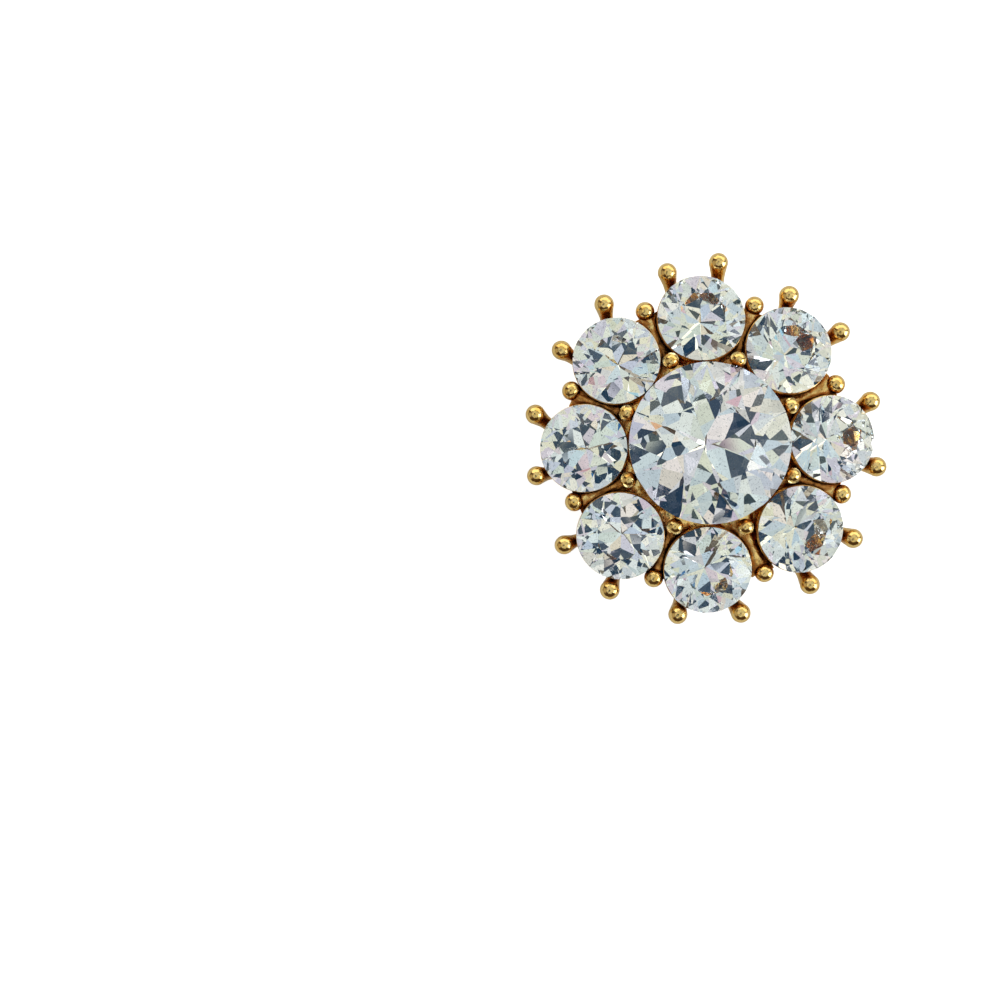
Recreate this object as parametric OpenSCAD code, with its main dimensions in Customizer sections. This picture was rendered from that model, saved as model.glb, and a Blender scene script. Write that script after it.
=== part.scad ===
// Rhinestone cluster earring for an unpierced ear: one large round stone, a ring of eight
// smaller ones, a cast gold-coloured setting with ball-tipped prongs, and a clip at the back.
// +Z is out of the front of the earring, +Y is up as it is worn, and z = 0 is the flat face of
// the clip that it rests on. All sizes are in millimetres.

/* [Stones] */
// Diameter of the large centre stone
centre_d = 14.3; // [14:0.1:14.4]
// Diameter of each stone in the ring
petal_d = 7.85; // [7.6:0.05:7.9]
// Width of the flat table as a share of the stone's diameter
table_share = 0.54; // [0.45:0.01:0.6]
// Angle of the crown's main facets to the girdle, in degrees
crown_angle = 34; // [28:1:36]
// Angle of the pavilion's main facets to the girdle, in degrees
pavilion_angle = 41; // [39:0.5:41]
// Height of the girdle as a share of the stone's diameter
girdle_share = 0.02; // [0.018:0.001:0.03]

/* [Cluster] */
// Distance from the middle of the earring to the middle of a ring stone
ring_reach = 11.2; // [11.15:0.05:11.6]
// Angle that each ring stone leans outwards, in degrees
petal_tilt = 10; // [6:1:12]
// Turn of the whole ring from upright, in degrees
cluster_turn = 2.2; // [-10:0.1:10]
// How far the large stone's girdle stands in front of the ring's
centre_rise = 2.6; // [2.5:0.1:3]
// How much of the hand-set unevenness is kept, from none to all of it
unevenness = 1; // [0:0.1:1]

/* [Setting] */
// Height of the ring stones' girdles above the back of the setting
girdle_height = 4.3; // [4.25:0.05:4.5]
// Thickness of the flower-shaped back plate
plate_t = 0.7; // [0.6:0.05:0.75]
// Radius of the middle of the back plate
plate_r = 11.5; // [11.4:0.1:11.6]
// Radius of each lobe of the back plate, behind a ring stone
lobe_r = 3.3; // [3.1:0.1:3.4]
// Width of a cup's rim under its stone
rim_w = 0.15; // [0.12:0.01:0.17]
// Width of the ribs that join the cups
rib_w = 1.9; // [1.7:0.1:2.1]

/* [Prongs] */
// Radius of the balls on the outer prongs
tip_ball_r = 0.9; // [0.8:0.01:0.92]
// Radius of the balls between two ring stones
valley_ball_r = 0.87; // [0.76:0.01:0.88]
// Radius of the balls beside the centre stone
inner_ball_r = 0.74; // [0.68:0.01:0.75]
// Distance from the middle to an outer ball
tip_reach = 15.65; // [15.6:0.05:15.9]
// Angle from a ring stone's direction to each of its two outer balls, in degrees
tip_spread = 10.4; // [10:0.1:11]
// Distance from the middle to a ball between two ring stones
valley_reach = 13; // [12.95:0.05:13.2]
// Distance from the middle to a ball beside the centre stone
inner_reach = 7.95; // [7.9:0.05:8]

/* [Clip] */
// Thickness of the clip's strip
clip_t = 0.9; // [0.8:0.05:1]
// Clear gap that the earlobe goes into
lobe_gap = 4.6; // [4.5:0.1:5]
// Radius of the clip's round pads
pad_r = 5.2; // [4.8:0.1:5.6]
// Width of the strip between the pads and the bend
strip_w = 6.6; // [6:0.1:7]

/* [Hidden] */
PETALS = 8;
PETAL_NODES = [for (i = [1:PETALS]) str("petal_stone_", i)];
$fn = 64;

GOLD = [0.83, 0.62, 0.22];
CRYSTAL = [0.86, 0.9, 0.93];

// Heights above the resting face
seat_gap = 0.05;
back_z = 2 * clip_t + lobe_gap + seat_gap;
petal_z = back_z + girdle_height;
centre_z = petal_z + centre_rise;

// Hand-set departures of the ring stones: turn in degrees, and distance outwards
TURN = 0;
OUT = 1;
petal_rows = [
    [0, 0.1],
    [1.4, 0],
    [0.1, 0.1],
    [0, -0.2],
    [-0.2, -0.2],
    [-0.3, 0.1],
    [-1.5, 0.1],
    [0.7, 0.2],
];

// Hand-set departures of each ring stone's two outer balls: the spread of the right-hand
// ball, its distance outwards, and the same of the left-hand ball
RIGHT_SPREAD = 0;
RIGHT_OUT = 1;
LEFT_SPREAD = 2;
LEFT_OUT = 3;
tip_rows = [
    [-0.85, 0.05, 2, -0.15],
    [-1.5, 0.3, 1.4, -0.15],
    [-3.7, 0.85, -0.5, 0.25],
    [1.2, -0.05, -1, -0.15],
    [1.7, -0.1, -1.85, -0.2],
    [0.9, -0.05, -0.4, 0.05],
    [-0.8, -0.1, 1.05, -0.05],
    [0.5, 0.2, -0.6, 0.25],
];

// Hand-set departures of the two balls in each gap between ring stones: the turn and the
// distance outwards of the outer one, and the same of the one beside the centre stone
VALLEY_TURN = 0;
VALLEY_OUT = 1;
INNER_TURN = 2;
INNER_OUT = 3;
gap_rows = [
    [-0.7, -0.05, -0.9, 0.1],
    [0, 0.25, 0.1, -0.05],
    [-0.4, 0.15, -0.3, 0.1],
    [-1.4, 0, 0, -0.25],
    [-0.7, -0.1, 0, -0.15],
    [0.1, -0.1, -0.8, 0],
    [0.4, -0.25, -0.4, 0.15],
    [-0.1, 0.1, -1, 0.05],
];

// Directions and places in the ring, counted from 0 at the right and anticlockwise
step = 360 / PETALS;
function petal_angle(i) = cluster_turn + step * i + unevenness * petal_rows[i % PETALS][TURN];
function petal_reach(i) = ring_reach + unevenness * petal_rows[i][OUT];
function gap_angle(i) = (petal_angle(i) + petal_angle(i + 1)) / 2;
function polar(reach, angle, z) = [reach * cos(angle), reach * sin(angle), z];

// Heights of the balls from the ring stones' girdle plane, and of the feet of their stems
tip_drop = 1.3;
valley_drop = 0.8;
inner_rise = 1.5;
foot_depth = plate_t / 2;
foot_z = back_z + foot_depth;

// A stem is a little thinner than its ball, and thinner still at its foot
stem_top_share = 0.8;
stem_foot_share = 0.66;

// Proportions of a cup to its stone's radius, its outer rim beyond the stone's edge, and the
// radius at which its cone ends inside the back plate
rim_drop_share = 0.06;
band_share = 0.08;
petal_overhang = 0.05;
centre_overhang = -0.05;
petal_cup_foot_r = 0.2;
centre_cup_foot_r = 0.6;

// Round brilliant cut, as shares of the stone's radius: where the star facets end between
// the table and the girdle, and where the lower girdle facets end above the point
FACET_STEP = 45;
HALF_STEP = FACET_STEP / 2;
star_share = 0.52;
lower_share = 0.23;
girdle_parts = 4;

function cross_z(a, b, c, x, y) =
    let (n = cross(b - a, c - a))
    a.z - (n.x * (x - a.x) + n.y * (y - a.y)) / n.z;

// Height, at a direction on the girdle, of the plane through three corners of a facet
function scallop(a, b, c, r, angle) = cross_z(a, b, c, r * cos(angle), r * sin(angle));

// A round brilliant with its girdle's lower edge at z = 0 and its table upwards. Points:
// table, star ends, girdle's upper edge, girdle's lower edge, lower girdle ends, point.
module brilliant(d) {
    r = d / 2;
    girdle_h = girdle_share * d;
    table_r = table_share * r;
    crown_h = (r - table_r) * tan(crown_angle);
    table_z = girdle_h + crown_h;
    table_mid = table_r * cos(HALF_STEP);
    star_r = table_mid + star_share * (r - table_mid);
    star_z = table_z - (star_r * cos(HALF_STEP) - table_r) * tan(crown_angle);
    point_z = -r * tan(pavilion_angle);
    lower_r = lower_share * r;
    lower_z = point_z + lower_r * cos(HALF_STEP) * tan(pavilion_angle);
    mains = 360 / FACET_STEP;
    parts = girdle_parts;
    ring = mains * 2 * parts;

    table = [for (k = [0:mains - 1]) polar(table_r, k * FACET_STEP, table_z)];
    stars = [for (k = [0:mains - 1]) polar(star_r, k * FACET_STEP + HALF_STEP, star_z)];
    lowers = [for (k = [0:mains - 1]) polar(lower_r, k * FACET_STEP + HALF_STEP, lower_z)];
    // Each half step of the girdle lies on one facet above it and one below it
    edge = [for (k = [0:ring - 1])
        let (
            half = floor(k / parts),
            main = floor(half / 2),
            a_angle = half * HALF_STEP,
            b_angle = a_angle + HALF_STEP,
            angle = k * HALF_STEP / parts
        )
        [
            scallop(polar(r, a_angle, girdle_h), polar(r, b_angle, girdle_h), stars[main], r, angle),
            scallop(polar(r, a_angle, 0), polar(r, b_angle, 0), lowers[main], r, angle),
            angle
        ]];
    upper_edge = [for (e = edge) polar(r, e[2], e[0])];
    lower_edge = [for (e = edge) polar(r, e[2], e[1])];
    points = concat(table, stars, upper_edge, lower_edge, lowers, [[0, 0, point_z]]);
    STAR = mains;
    UPPER = 2 * mains;
    LOWER = UPPER + ring;
    UNDER = LOWER + ring;
    POINT = UNDER + mains;

    table_face = [[for (k = [mains - 1:-1:0]) k]];
    star_faces = [for (k = [0:mains - 1]) [k, (k + 1) % mains, STAR + k]];
    kite_faces = [for (k = [0:mains - 1])
        let (before = (k + mains - 1) % mains)
        [k, STAR + k, UPPER + k * 2 * parts, STAR + before]];
    upper_faces = [for (k = [0:ring - 1])
        [STAR + floor(k / (2 * parts)), UPPER + (k + 1) % ring, UPPER + k]];
    band_faces = [for (k = [0:ring - 1])
        let (next = (k + 1) % ring)
        [UPPER + k, UPPER + next, LOWER + next, LOWER + k]];
    lower_faces = [for (k = [0:ring - 1])
        [UNDER + floor(k / (2 * parts)), LOWER + k, LOWER + (k + 1) % ring]];
    main_faces = [for (k = [0:mains - 1])
        let (before = (k + mains - 1) % mains)
        [POINT, UNDER + before, LOWER + k * 2 * parts, UNDER + k]];
    polyhedron(points, concat(table_face, star_faces, kite_faces, upper_faces, band_faces,
        lower_faces, main_faces));
}

// Solid cup under a stone, before its seat is cut: a short band, then a cone to the back
module cup_body(d, overhang, foot_r) {
    r = d / 2;
    outer_r = r + overhang;
    rim_z = -rim_drop_share * r;
    band_z = rim_z - band_share * r;
    foot = band_z - (outer_r - foot_r) * tan(pavilion_angle);
    rotate_extrude()
        polygon([[0, foot], [foot_r, foot], [outer_r, band_z], [outer_r, rim_z], [0, rim_z]]);
}

// Seat cut into a cup for its stone: a cone that clears the stone's pavilion, open at the top
module cup_seat(d, overhang) {
    r = d / 2;
    seat_r = r + overhang - rim_w;
    rim_z = -rim_drop_share * r;
    tip_z = rim_z - seat_r * tan(pavilion_angle);
    rotate_extrude()
        polygon([[0, tip_z], [seat_r, rim_z], [seat_r, r], [0, r]]);
}

// Places its children at a ring stone's seat, leaning outwards
module at_petal(i) {
    rotate([0, 0, petal_angle(i)])
        translate([petal_reach(i), 0, petal_z])
            rotate([0, petal_tilt, 0])
                children();
}

module at_centre() {
    translate([0, 0, centre_z])
        children();
}

// Turn of a ring stone in its cup, as each was glued in: the golden angle never repeats
GOLDEN_ANGLE = 137.5;
function stone_turn(i) = (i * GOLDEN_ANGLE) % FACET_STEP;

// Ball-tipped prong from its foot to the middle of its ball. The stem's seam line is turned
// away from the middle plane of its rib.
SEAM_TURN = 33;
module prong(foot, ball, ball_r) {
    run = ball - foot;
    length = norm(run);
    lean = acos(run.z / length);
    heading = atan2(run.y, run.x);
    translate(foot)
        rotate([0, lean, heading])
            rotate([0, 0, SEAM_TURN])
                cylinder(h = length, r1 = ball_r * stem_foot_share, r2 = ball_r * stem_top_share);
    translate(ball)
        sphere(r = ball_r);
}

// Outer prong of a ring stone, on one side of it: right is -1 and left is 1
TIP_FOOT_REACH = 13.6;
TIP_FOOT_SPREAD = 8.5;
module tip_prong(i, side, spread_more, out_more) {
    spread = tip_spread + unevenness * spread_more;
    reach = tip_reach + unevenness * out_more;
    foot = polar(TIP_FOOT_REACH, petal_angle(i) + side * TIP_FOOT_SPREAD, foot_z);
    ball = polar(reach, petal_angle(i) + side * spread, petal_z - tip_drop);
    prong(foot, ball, tip_ball_r);
}

// Prong at the outer end of a gap between two ring stones
VALLEY_FOOT_REACH = 11.6;
module valley_prong(i) {
    angle = gap_angle(i) + unevenness * gap_rows[i][VALLEY_TURN];
    reach = valley_reach + unevenness * gap_rows[i][VALLEY_OUT];
    foot = polar(VALLEY_FOOT_REACH, gap_angle(i), foot_z);
    prong(foot, polar(reach, angle, petal_z - valley_drop), valley_ball_r);
}

// Prong at the inner end of a gap, beside the centre stone
INNER_FOOT_Z = 1.9;
INNER_FOOT_REACH = 7.9;
module inner_prong(i) {
    angle = gap_angle(i) + unevenness * gap_rows[i][INNER_TURN];
    reach = inner_reach + unevenness * gap_rows[i][INNER_OUT];
    foot = polar(INNER_FOOT_REACH, gap_angle(i), petal_z - INNER_FOOT_Z);
    prong(foot, polar(reach, angle, petal_z + inner_rise), inner_ball_r);
}

// Rib between two cups, from beside the centre cup out to the foot of the valley prong
RIB_INNER = 6.9;
RIB_OUTER_FOOT = 11.2;
RIB_OUTER_TOP = 12.7;
RIB_DROP = 0.9;
module rib(i) {
    top_z = petal_z - RIB_DROP;
    rotate([0, 0, gap_angle(i)])
        rotate([90, 0, 0])
            linear_extrude(height = rib_w, center = true)
                polygon([[RIB_INNER, back_z], [RIB_OUTER_FOOT, back_z],
                    [RIB_OUTER_TOP, top_z], [RIB_INNER, top_z]]);
}

// Flower-shaped plate that closes the back
LOBE_REACH = 11;
module back_plate() {
    translate([0, 0, back_z])
        linear_extrude(height = plate_t)
            union() {
                circle(r = plate_r);
                for (i = [0:PETALS - 1])
                    rotate(petal_angle(i))
                        translate([LOBE_REACH, 0])
                            circle(r = lobe_r);
            }
}

// What carries one ring stone: its cup and its two outer prongs
module petal_support(i) {
    at_petal(i)
        cup_body(petal_d, petal_overhang, petal_cup_foot_r);
    tip_prong(i, -1, tip_rows[i][RIGHT_SPREAD], tip_rows[i][RIGHT_OUT]);
    tip_prong(i, 1, tip_rows[i][LEFT_SPREAD], tip_rows[i][LEFT_OUT]);
}

// What fills one gap between ring stones: the rib and the prong at each end of it
module gap_support(i) {
    rib(i);
    valley_prong(i);
    inner_prong(i);
}

// One cast metal solid: plate, cups, ribs and 32 ball-tipped prongs
module setting() {
    color(GOLD)
        difference() {
            union() {
                back_plate();
                at_centre()
                    cup_body(centre_d, centre_overhang, centre_cup_foot_r);
                for (i = [0:PETALS - 1]) {
                    petal_support(i);
                    gap_support(i);
                }
            }
            at_centre()
                cup_seat(centre_d, centre_overhang);
            for (i = [0:PETALS - 1])
                at_petal(i)
                    cup_seat(petal_d, petal_overhang);
        }
}

module centre_stone() {
    color(CRYSTAL)
        at_centre()
            brilliant(centre_d);
}

module petal_stone(i) {
    color(CRYSTAL)
        at_petal(i)
            rotate([0, 0, stone_turn(i)])
                brilliant(petal_d);
}

// Clip as one bent strip: a pad on the back of the setting, a round bend above, and the pad
// behind the earlobe, whose flat face is at z = 0. PAST is how far a shape that cuts the strip
// reaches beyond it.
PAD_Y = -1.5;
BEND_Y = 7.2;
PAST = 1;
module clip_side() {
    inner_r = lobe_gap / 2;
    outer_r = inner_r + clip_t;
    low_y = PAD_Y - pad_r;
    difference() {
        union() {
            translate([low_y, 0])
                square([BEND_Y - low_y, 2 * outer_r]);
            translate([BEND_Y, outer_r])
                circle(r = outer_r);
        }
        translate([low_y - PAST, clip_t])
            square([BEND_Y - low_y + PAST, lobe_gap]);
        translate([BEND_Y, outer_r])
            circle(r = inner_r);
    }
}

module clip_plan() {
    reach = BEND_Y + lobe_gap;
    translate([0, PAD_Y])
        circle(r = pad_r);
    translate([-strip_w / 2, PAD_Y])
        square([strip_w, reach - PAD_Y]);
}

module ear_clip() {
    color(GOLD)
        intersection() {
            rotate([90, 0, 90])
                linear_extrude(height = 2 * (pad_r + PAST), center = true)
                    clip_side();
            translate([0, 0, -PAST])
                linear_extrude(height = back_z + 2 * PAST)
                    clip_plan();
        }
}

setting();
centre_stone();
for (i = [0:PETALS - 1])
    petal_stone(i);
ear_clip();
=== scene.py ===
# %% [markdown]
# # A rhinestone cluster earring
#
# This is costume jewellery for an unpierced ear. Nine round glass stones, each with a mirror
# foil behind it, sit in a gold-plated casting with 32 ball-tipped prongs, and a clip at the
# back holds the earlobe.
#
# The lesson builds each piece the way a jeweller would, with Blender's own modelling tools. It
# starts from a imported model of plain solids, which says where every stone sits.

# %% Load the frame
import math
import random

import bmesh
import bpy
from mathutils import Matrix, Vector
from mathutils.bvhtree import BVHTree


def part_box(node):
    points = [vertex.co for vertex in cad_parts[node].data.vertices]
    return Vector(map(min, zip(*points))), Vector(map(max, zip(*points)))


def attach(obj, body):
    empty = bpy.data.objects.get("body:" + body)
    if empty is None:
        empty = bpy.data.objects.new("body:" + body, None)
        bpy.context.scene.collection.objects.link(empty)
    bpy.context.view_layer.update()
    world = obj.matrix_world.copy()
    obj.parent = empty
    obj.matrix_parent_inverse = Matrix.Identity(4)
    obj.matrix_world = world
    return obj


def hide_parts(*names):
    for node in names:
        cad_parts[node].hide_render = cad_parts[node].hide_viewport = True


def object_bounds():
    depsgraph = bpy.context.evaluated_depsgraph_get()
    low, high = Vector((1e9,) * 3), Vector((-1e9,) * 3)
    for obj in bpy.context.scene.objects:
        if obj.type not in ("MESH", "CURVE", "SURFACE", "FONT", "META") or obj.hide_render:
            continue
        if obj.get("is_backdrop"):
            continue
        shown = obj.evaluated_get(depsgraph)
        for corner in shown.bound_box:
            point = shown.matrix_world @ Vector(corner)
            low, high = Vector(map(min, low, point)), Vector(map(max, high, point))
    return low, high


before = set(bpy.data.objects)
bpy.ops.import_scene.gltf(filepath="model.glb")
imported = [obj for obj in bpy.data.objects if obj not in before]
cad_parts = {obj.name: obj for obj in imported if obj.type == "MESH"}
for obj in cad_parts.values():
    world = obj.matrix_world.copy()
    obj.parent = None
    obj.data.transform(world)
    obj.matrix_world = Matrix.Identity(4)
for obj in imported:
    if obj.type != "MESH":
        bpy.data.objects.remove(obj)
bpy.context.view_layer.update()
print("the plain solids are", sorted(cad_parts))

# %% [markdown]
# ## Working size
#
# Blender's modelling tools have small distances built in, such as the tenth of a millimetre
# within which two points count as one. On a jewel that is a whole edge. So every piece is
# modelled with one unit for a millimetre, and only a finished piece is scaled to metres.

# %% One unit for a millimetre
MM = 0.001
print("a finished piece is scaled by", MM)

# %% [markdown]
# ## The camera
#
# The earring was photographed from straight above, lying face up. The camera stands 140 mm
# over the ring of small stones and to the left of its middle, because in the photograph the
# earring lies in the right half of the picture.
#
# A Blender tool acts on all that is selected, so everything is deselected before the camera is
# added, and later before each new piece.

# %% Camera
IMAGE_WIDTH = 1000
SENSOR_WIDTH = 36
# Where the middle of the ring lies in the picture, and how many pixels from the picture's
# middle a ray with a slope of 1 ends
RING_AT_PIXEL = (706.3, 444.0)
PIXELS_PER_SLOPE = 1560.8
RING_HEIGHT = 10.75
STAND_OFF = 140


def deselect_all():
    """Leaves nothing selected, so that the next tool acts on nothing else."""
    if bpy.context.object and bpy.context.object.mode != "OBJECT":
        bpy.ops.object.mode_set(mode="OBJECT")
    bpy.ops.object.select_all(action="DESELECT")


across = (IMAGE_WIDTH / 2 - RING_AT_PIXEL[0]) / PIXELS_PER_SLOPE * STAND_OFF
along = (RING_AT_PIXEL[1] - IMAGE_WIDTH / 2) / PIXELS_PER_SLOPE * STAND_OFF
deselect_all()
bpy.ops.object.camera_add(
    location=(across * MM, along * MM, (RING_HEIGHT + STAND_OFF) * MM),
    rotation=(0, 0, 0),
)
camera = bpy.context.object
camera.name = "camera"
camera.data.sensor_width = SENSOR_WIDTH
camera.data.lens = PIXELS_PER_SLOPE * SENSOR_WIDTH / IMAGE_WIDTH
camera.data.clip_start = 0.005
camera.data.clip_end = 20
bpy.context.scene.camera = camera
print("the lens is", round(camera.data.lens, 2), "mm")

# %% [markdown]
# ## Where the stones sit
#
# The plain stones in the frame say where the real ones go. The middle of a stone's box lies on
# the middle of its girdle, the thin band at its widest place, so a ring stone's direction and
# distance are read from it. Each ring stone leans outwards by ten degrees.

# %% Seats
PETALS = 8
PETAL_D = 7.85
CENTRE_D = 14.3
GIRDLE_SHARE = 0.02
PETAL_TILT = math.radians(10)
CENTRE_RISE = 2.6


def turn(angle, axis):
    return Matrix.Rotation(angle, 4, axis)


def shift(x, y, z):
    return Matrix.Translation((x, y, z))


def girdle_middle(node):
    """The middle of a plain stone's box, in millimetres."""
    low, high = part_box(node)
    return (low + high) / 2 / MM


petal_angles = []
petal_reaches = []
half_band = GIRDLE_SHARE * PETAL_D / 2
for number in range(1, PETALS + 1):
    middle = girdle_middle(f"petal_stone_{number}")
    petal_angles.append(math.atan2(middle.y, middle.x) % math.tau)
    petal_reaches.append(middle.xy.length - half_band * math.sin(PETAL_TILT))
print("ring stones at", [round(math.degrees(a), 1) for a in petal_angles], "degrees")


def petal_seat(i):
    """From a ring stone's own axes to its place in the ring."""
    out = shift(petal_reaches[i], 0, RING_HEIGHT) @ turn(PETAL_TILT, "Y")
    return turn(petal_angles[i], "Z") @ out


def centre_seat():
    return shift(0, 0, RING_HEIGHT + CENTRE_RISE)


# %% [markdown]
# ## Cutting a stone
#
# A glass rhinestone is ground on a wheel, one flat facet after another. A cylinder is the
# rough, and Blender's Bisect tool is the wheel: it cuts along a plane, throws away what lies
# beyond and closes the cut. A subdivided or sculpted form would have soft facets, and soft
# facets don't sparkle.
#
# The cut is a round brilliant. Above the girdle are the flat table, eight stars, eight kites
# and sixteen upper girdle facets. Below are eight long mains that meet in a point, and sixteen
# lower girdle facets.

# %% Facets of a round brilliant
TABLE_SHARE = 0.54
CROWN_ANGLE = math.radians(34)
PAVILION_ANGLE = math.radians(41)
STAR_SHARE = 0.6
LOWER_SHARE = 0.4
FACET_STEP = 45
GIRDLE_SIDES = 96
MAIN_SLIP = math.radians(1.2)
STAR_SLIP = math.radians(1.6)
GIRDLE_SLIP = math.radians(0.7)


def new_piece(name):
    """Names the primitive that was just added and opens it for editing."""
    piece = bpy.context.object
    piece.name = name
    piece.data.name = name
    bpy.ops.object.transform_apply(location=True, rotation=True, scale=True)
    bpy.ops.object.mode_set(mode="EDIT")
    bpy.ops.mesh.select_mode(type="FACE")
    return piece


def corner(radius, degrees, height):
    angle = math.radians(degrees)
    return Vector((radius * math.cos(angle), radius * math.sin(angle), height))


def grind(hand, slip, *corners):
    """Grinds one facet through three corners, tilted a little by the cutter's hand."""
    a, b, c = corners
    normal = (b - a).cross(c - a).normalized()
    if normal.dot(a) < 0:
        normal.negate()
    most = math.tan(slip)
    normal += Vector([hand.uniform(-most, most) for _ in range(3)])
    normal.normalize()
    deepest = min(corners, key=normal.dot)
    bpy.ops.mesh.select_all(action="SELECT")
    bpy.ops.mesh.bisect(plane_co=deepest, plane_no=normal, use_fill=True, clear_outer=True)


print("the hand slips by up to", round(math.degrees(STAR_SLIP), 1), "degrees on each axis")

# %% [markdown]
# The corners of all the facets follow from a few proportions. The mains are ground first, all
# round the stone, and the stars and girdle facets then take off what stands proud of them. The
# large stone and one ring stone are cut, each with slips of its own that come out the same on
# every run.

# %% Cut the two stones
def cut_brilliant(name, diameter, seed):
    """Cuts a round brilliant, its girdle's lower edge at height 0 and its table upwards."""
    hand = random.Random(seed)
    radius = diameter / 2
    band = GIRDLE_SHARE * diameter
    table_r = TABLE_SHARE * radius
    table_z = band + (radius - table_r) * math.tan(CROWN_ANGLE)
    half = FACET_STEP / 2
    table_mid = table_r * math.cos(math.radians(half))
    star_r = table_mid + STAR_SHARE * (radius - table_mid)
    star_fall = star_r * math.cos(math.radians(half)) - table_r
    star_z = table_z - star_fall * math.tan(CROWN_ANGLE)
    point_z = -radius * math.tan(PAVILION_ANGLE)
    lower_r = LOWER_SHARE * radius
    lower_z = point_z + lower_r * math.cos(math.radians(half)) * math.tan(PAVILION_ANGLE)
    point = Vector((0, 0, point_z))

    deselect_all()
    bpy.ops.mesh.primitive_cylinder_add(
        vertices=GIRDLE_SIDES,
        radius=radius,
        depth=table_z - point_z,
        location=(0, 0, (table_z + point_z) / 2),
    )
    stone = new_piece(name)
    for main in range(0, 360, FACET_STEP):
        kite_edge = corner(table_r, main, table_z)
        side = corner(table_r, main + 90, 0)
        grind(hand, MAIN_SLIP, kite_edge, kite_edge + side, corner(radius, main, band))
        under_side = corner(lower_r, main - half, lower_z)
        grind(hand, MAIN_SLIP, point, under_side, corner(radius, main, 0))
    for main in range(0, 360, FACET_STEP):
        star = corner(star_r, main + half, star_z)
        next_edge = corner(table_r, main + FACET_STEP, table_z)
        grind(hand, STAR_SLIP, corner(table_r, main, table_z), next_edge, star)
        lower = corner(lower_r, main + half, lower_z)
        for side in (0, half):
            a = main + side
            b = a + half
            grind(hand, GIRDLE_SLIP, corner(radius, a, band), corner(radius, b, band), star)
            grind(hand, GIRDLE_SLIP, corner(radius, a, 0), corner(radius, b, 0), lower)
    bpy.ops.object.mode_set(mode="OBJECT")
    return stone


centre_stone = cut_brilliant("centre_rhinestone", CENTRE_D, seed=16)
petal_model = cut_brilliant("petal_rhinestone", PETAL_D, seed=4)
print("a stone has", len(centre_stone.data.polygons), "faces")

# %% [markdown]
# ## Glass in front, mirror behind
#
# What makes a rhinestone sparkle is the foil on its back. Light goes in through the crown,
# bounces between the mirrored facets and comes out again somewhere else. The faces that look
# forwards therefore get one material, and the girdle and everything behind it another. A
# painted-on sparkle would stay still when the earring turns, and this doesn't.

# %% Give each facet its side
GLASS_SLOT = 0
FOIL_SLOT = 1
FORWARD = 0.1

for stone in (centre_stone, petal_model):
    for face in stone.data.polygons:
        face.material_index = FOIL_SLOT if face.normal.z < FORWARD else GLASS_SLOT
glass_facets = sum(face.material_index == GLASS_SLOT for face in stone.data.polygons)
print("a ring stone has", glass_facets, "facets of glass")

# %% [markdown]
# ## Clear glass
#
# A material is a tree of nodes, which the Shading tab shows as boxes joined by wires. The
# helpers here do what a maker does there by hand: they add a node, and either wire each of its
# sockets to another node or type a value into it.
#
# The glass is made first. Its index of refraction of 1.56 is that of lead crystal, which bends
# light more than window glass does. It is perfectly smooth, because its facets are polished,
# and faint streaks tint it a little warmer and cooler from place to place. Plain white glass
# would do, but nine stones in the very same white look computer-made.

# %% Rhinestone glass
COOL_GLASS = (0.98, 1, 1, 1)
WARM_GLASS = (1, 0.985, 0.95, 1)


def new_material(name):
    """A material with a plain shader, and the parts of it that are wired up."""
    material = bpy.data.materials.new(name)
    material.use_nodes = True
    return material, material.node_tree, material.node_tree.nodes["Principled BSDF"]


def wire(tree, value, socket):
    """Links an output to a socket, or sets the socket to a plain value."""
    if isinstance(value, bpy.types.NodeSocket):
        tree.links.new(value, socket)
    else:
        socket.default_value = value


def blend(tree, amount, first, second):
    """Mixes two colours."""
    node = tree.nodes.new("ShaderNodeMix")
    node.data_type = "RGBA"
    wire(tree, amount, node.inputs["Factor"])
    wire(tree, first, node.inputs["A"])
    wire(tree, second, node.inputs["B"])
    return node.outputs["Result"]


def noise(tree, place, scale, detail):
    node = tree.nodes.new("ShaderNodeTexNoise")
    wire(tree, place, node.inputs["Vector"])
    wire(tree, scale, node.inputs["Scale"])
    node.inputs["Detail"].default_value = detail
    return node.outputs["Fac"]


def object_place(tree):
    """Where a point lies in the piece's own space."""
    return tree.nodes.new("ShaderNodeTexCoord").outputs["Object"]


glass, tree, shader = new_material("rhinestone glass")
streaks = noise(tree, object_place(tree), scale=260, detail=2)
tint = blend(tree, streaks, COOL_GLASS, WARM_GLASS)
wire(tree, tint, shader.inputs["Base Color"])
shader.inputs["Roughness"].default_value = 0
shader.inputs["IOR"].default_value = 1.56
shader.inputs["Transmission Weight"].default_value = 1
print("glass made with", len(tree.nodes), "nodes")

# %% [markdown]
# ## The foil
#
# The foil is a thin coat of metal and lacquer that takes a slightly different colour on each
# facet, and in places the years have left pinholes and dull specks in it. The colour is stored
# on the faces, and a fine noise makes the specks.

# %% Mirror foil
FOIL_TINTS = (
    (0.97, 0.97, 0.96),
    (0.97, 0.97, 0.96),
    (0.96, 0.95, 0.88),
    (0.87, 0.93, 0.96),
    (0.95, 0.88, 0.91),
)
SPECK_COLOUR = (0.45, 0.47, 0.5, 1)


def attribute(tree, name):
    node = tree.nodes.new("ShaderNodeAttribute")
    node.attribute_name = name
    return node


def soft_step(tree, value, low, high):
    """Rises smoothly from 0 to 1 between two values."""
    node = tree.nodes.new("ShaderNodeMapRange")
    node.interpolation_type = "SMOOTHSTEP"
    wire(tree, value, node.inputs["Value"])
    wire(tree, low, node.inputs["From Min"])
    wire(tree, high, node.inputs["From Max"])
    return node.outputs["Result"]


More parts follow.
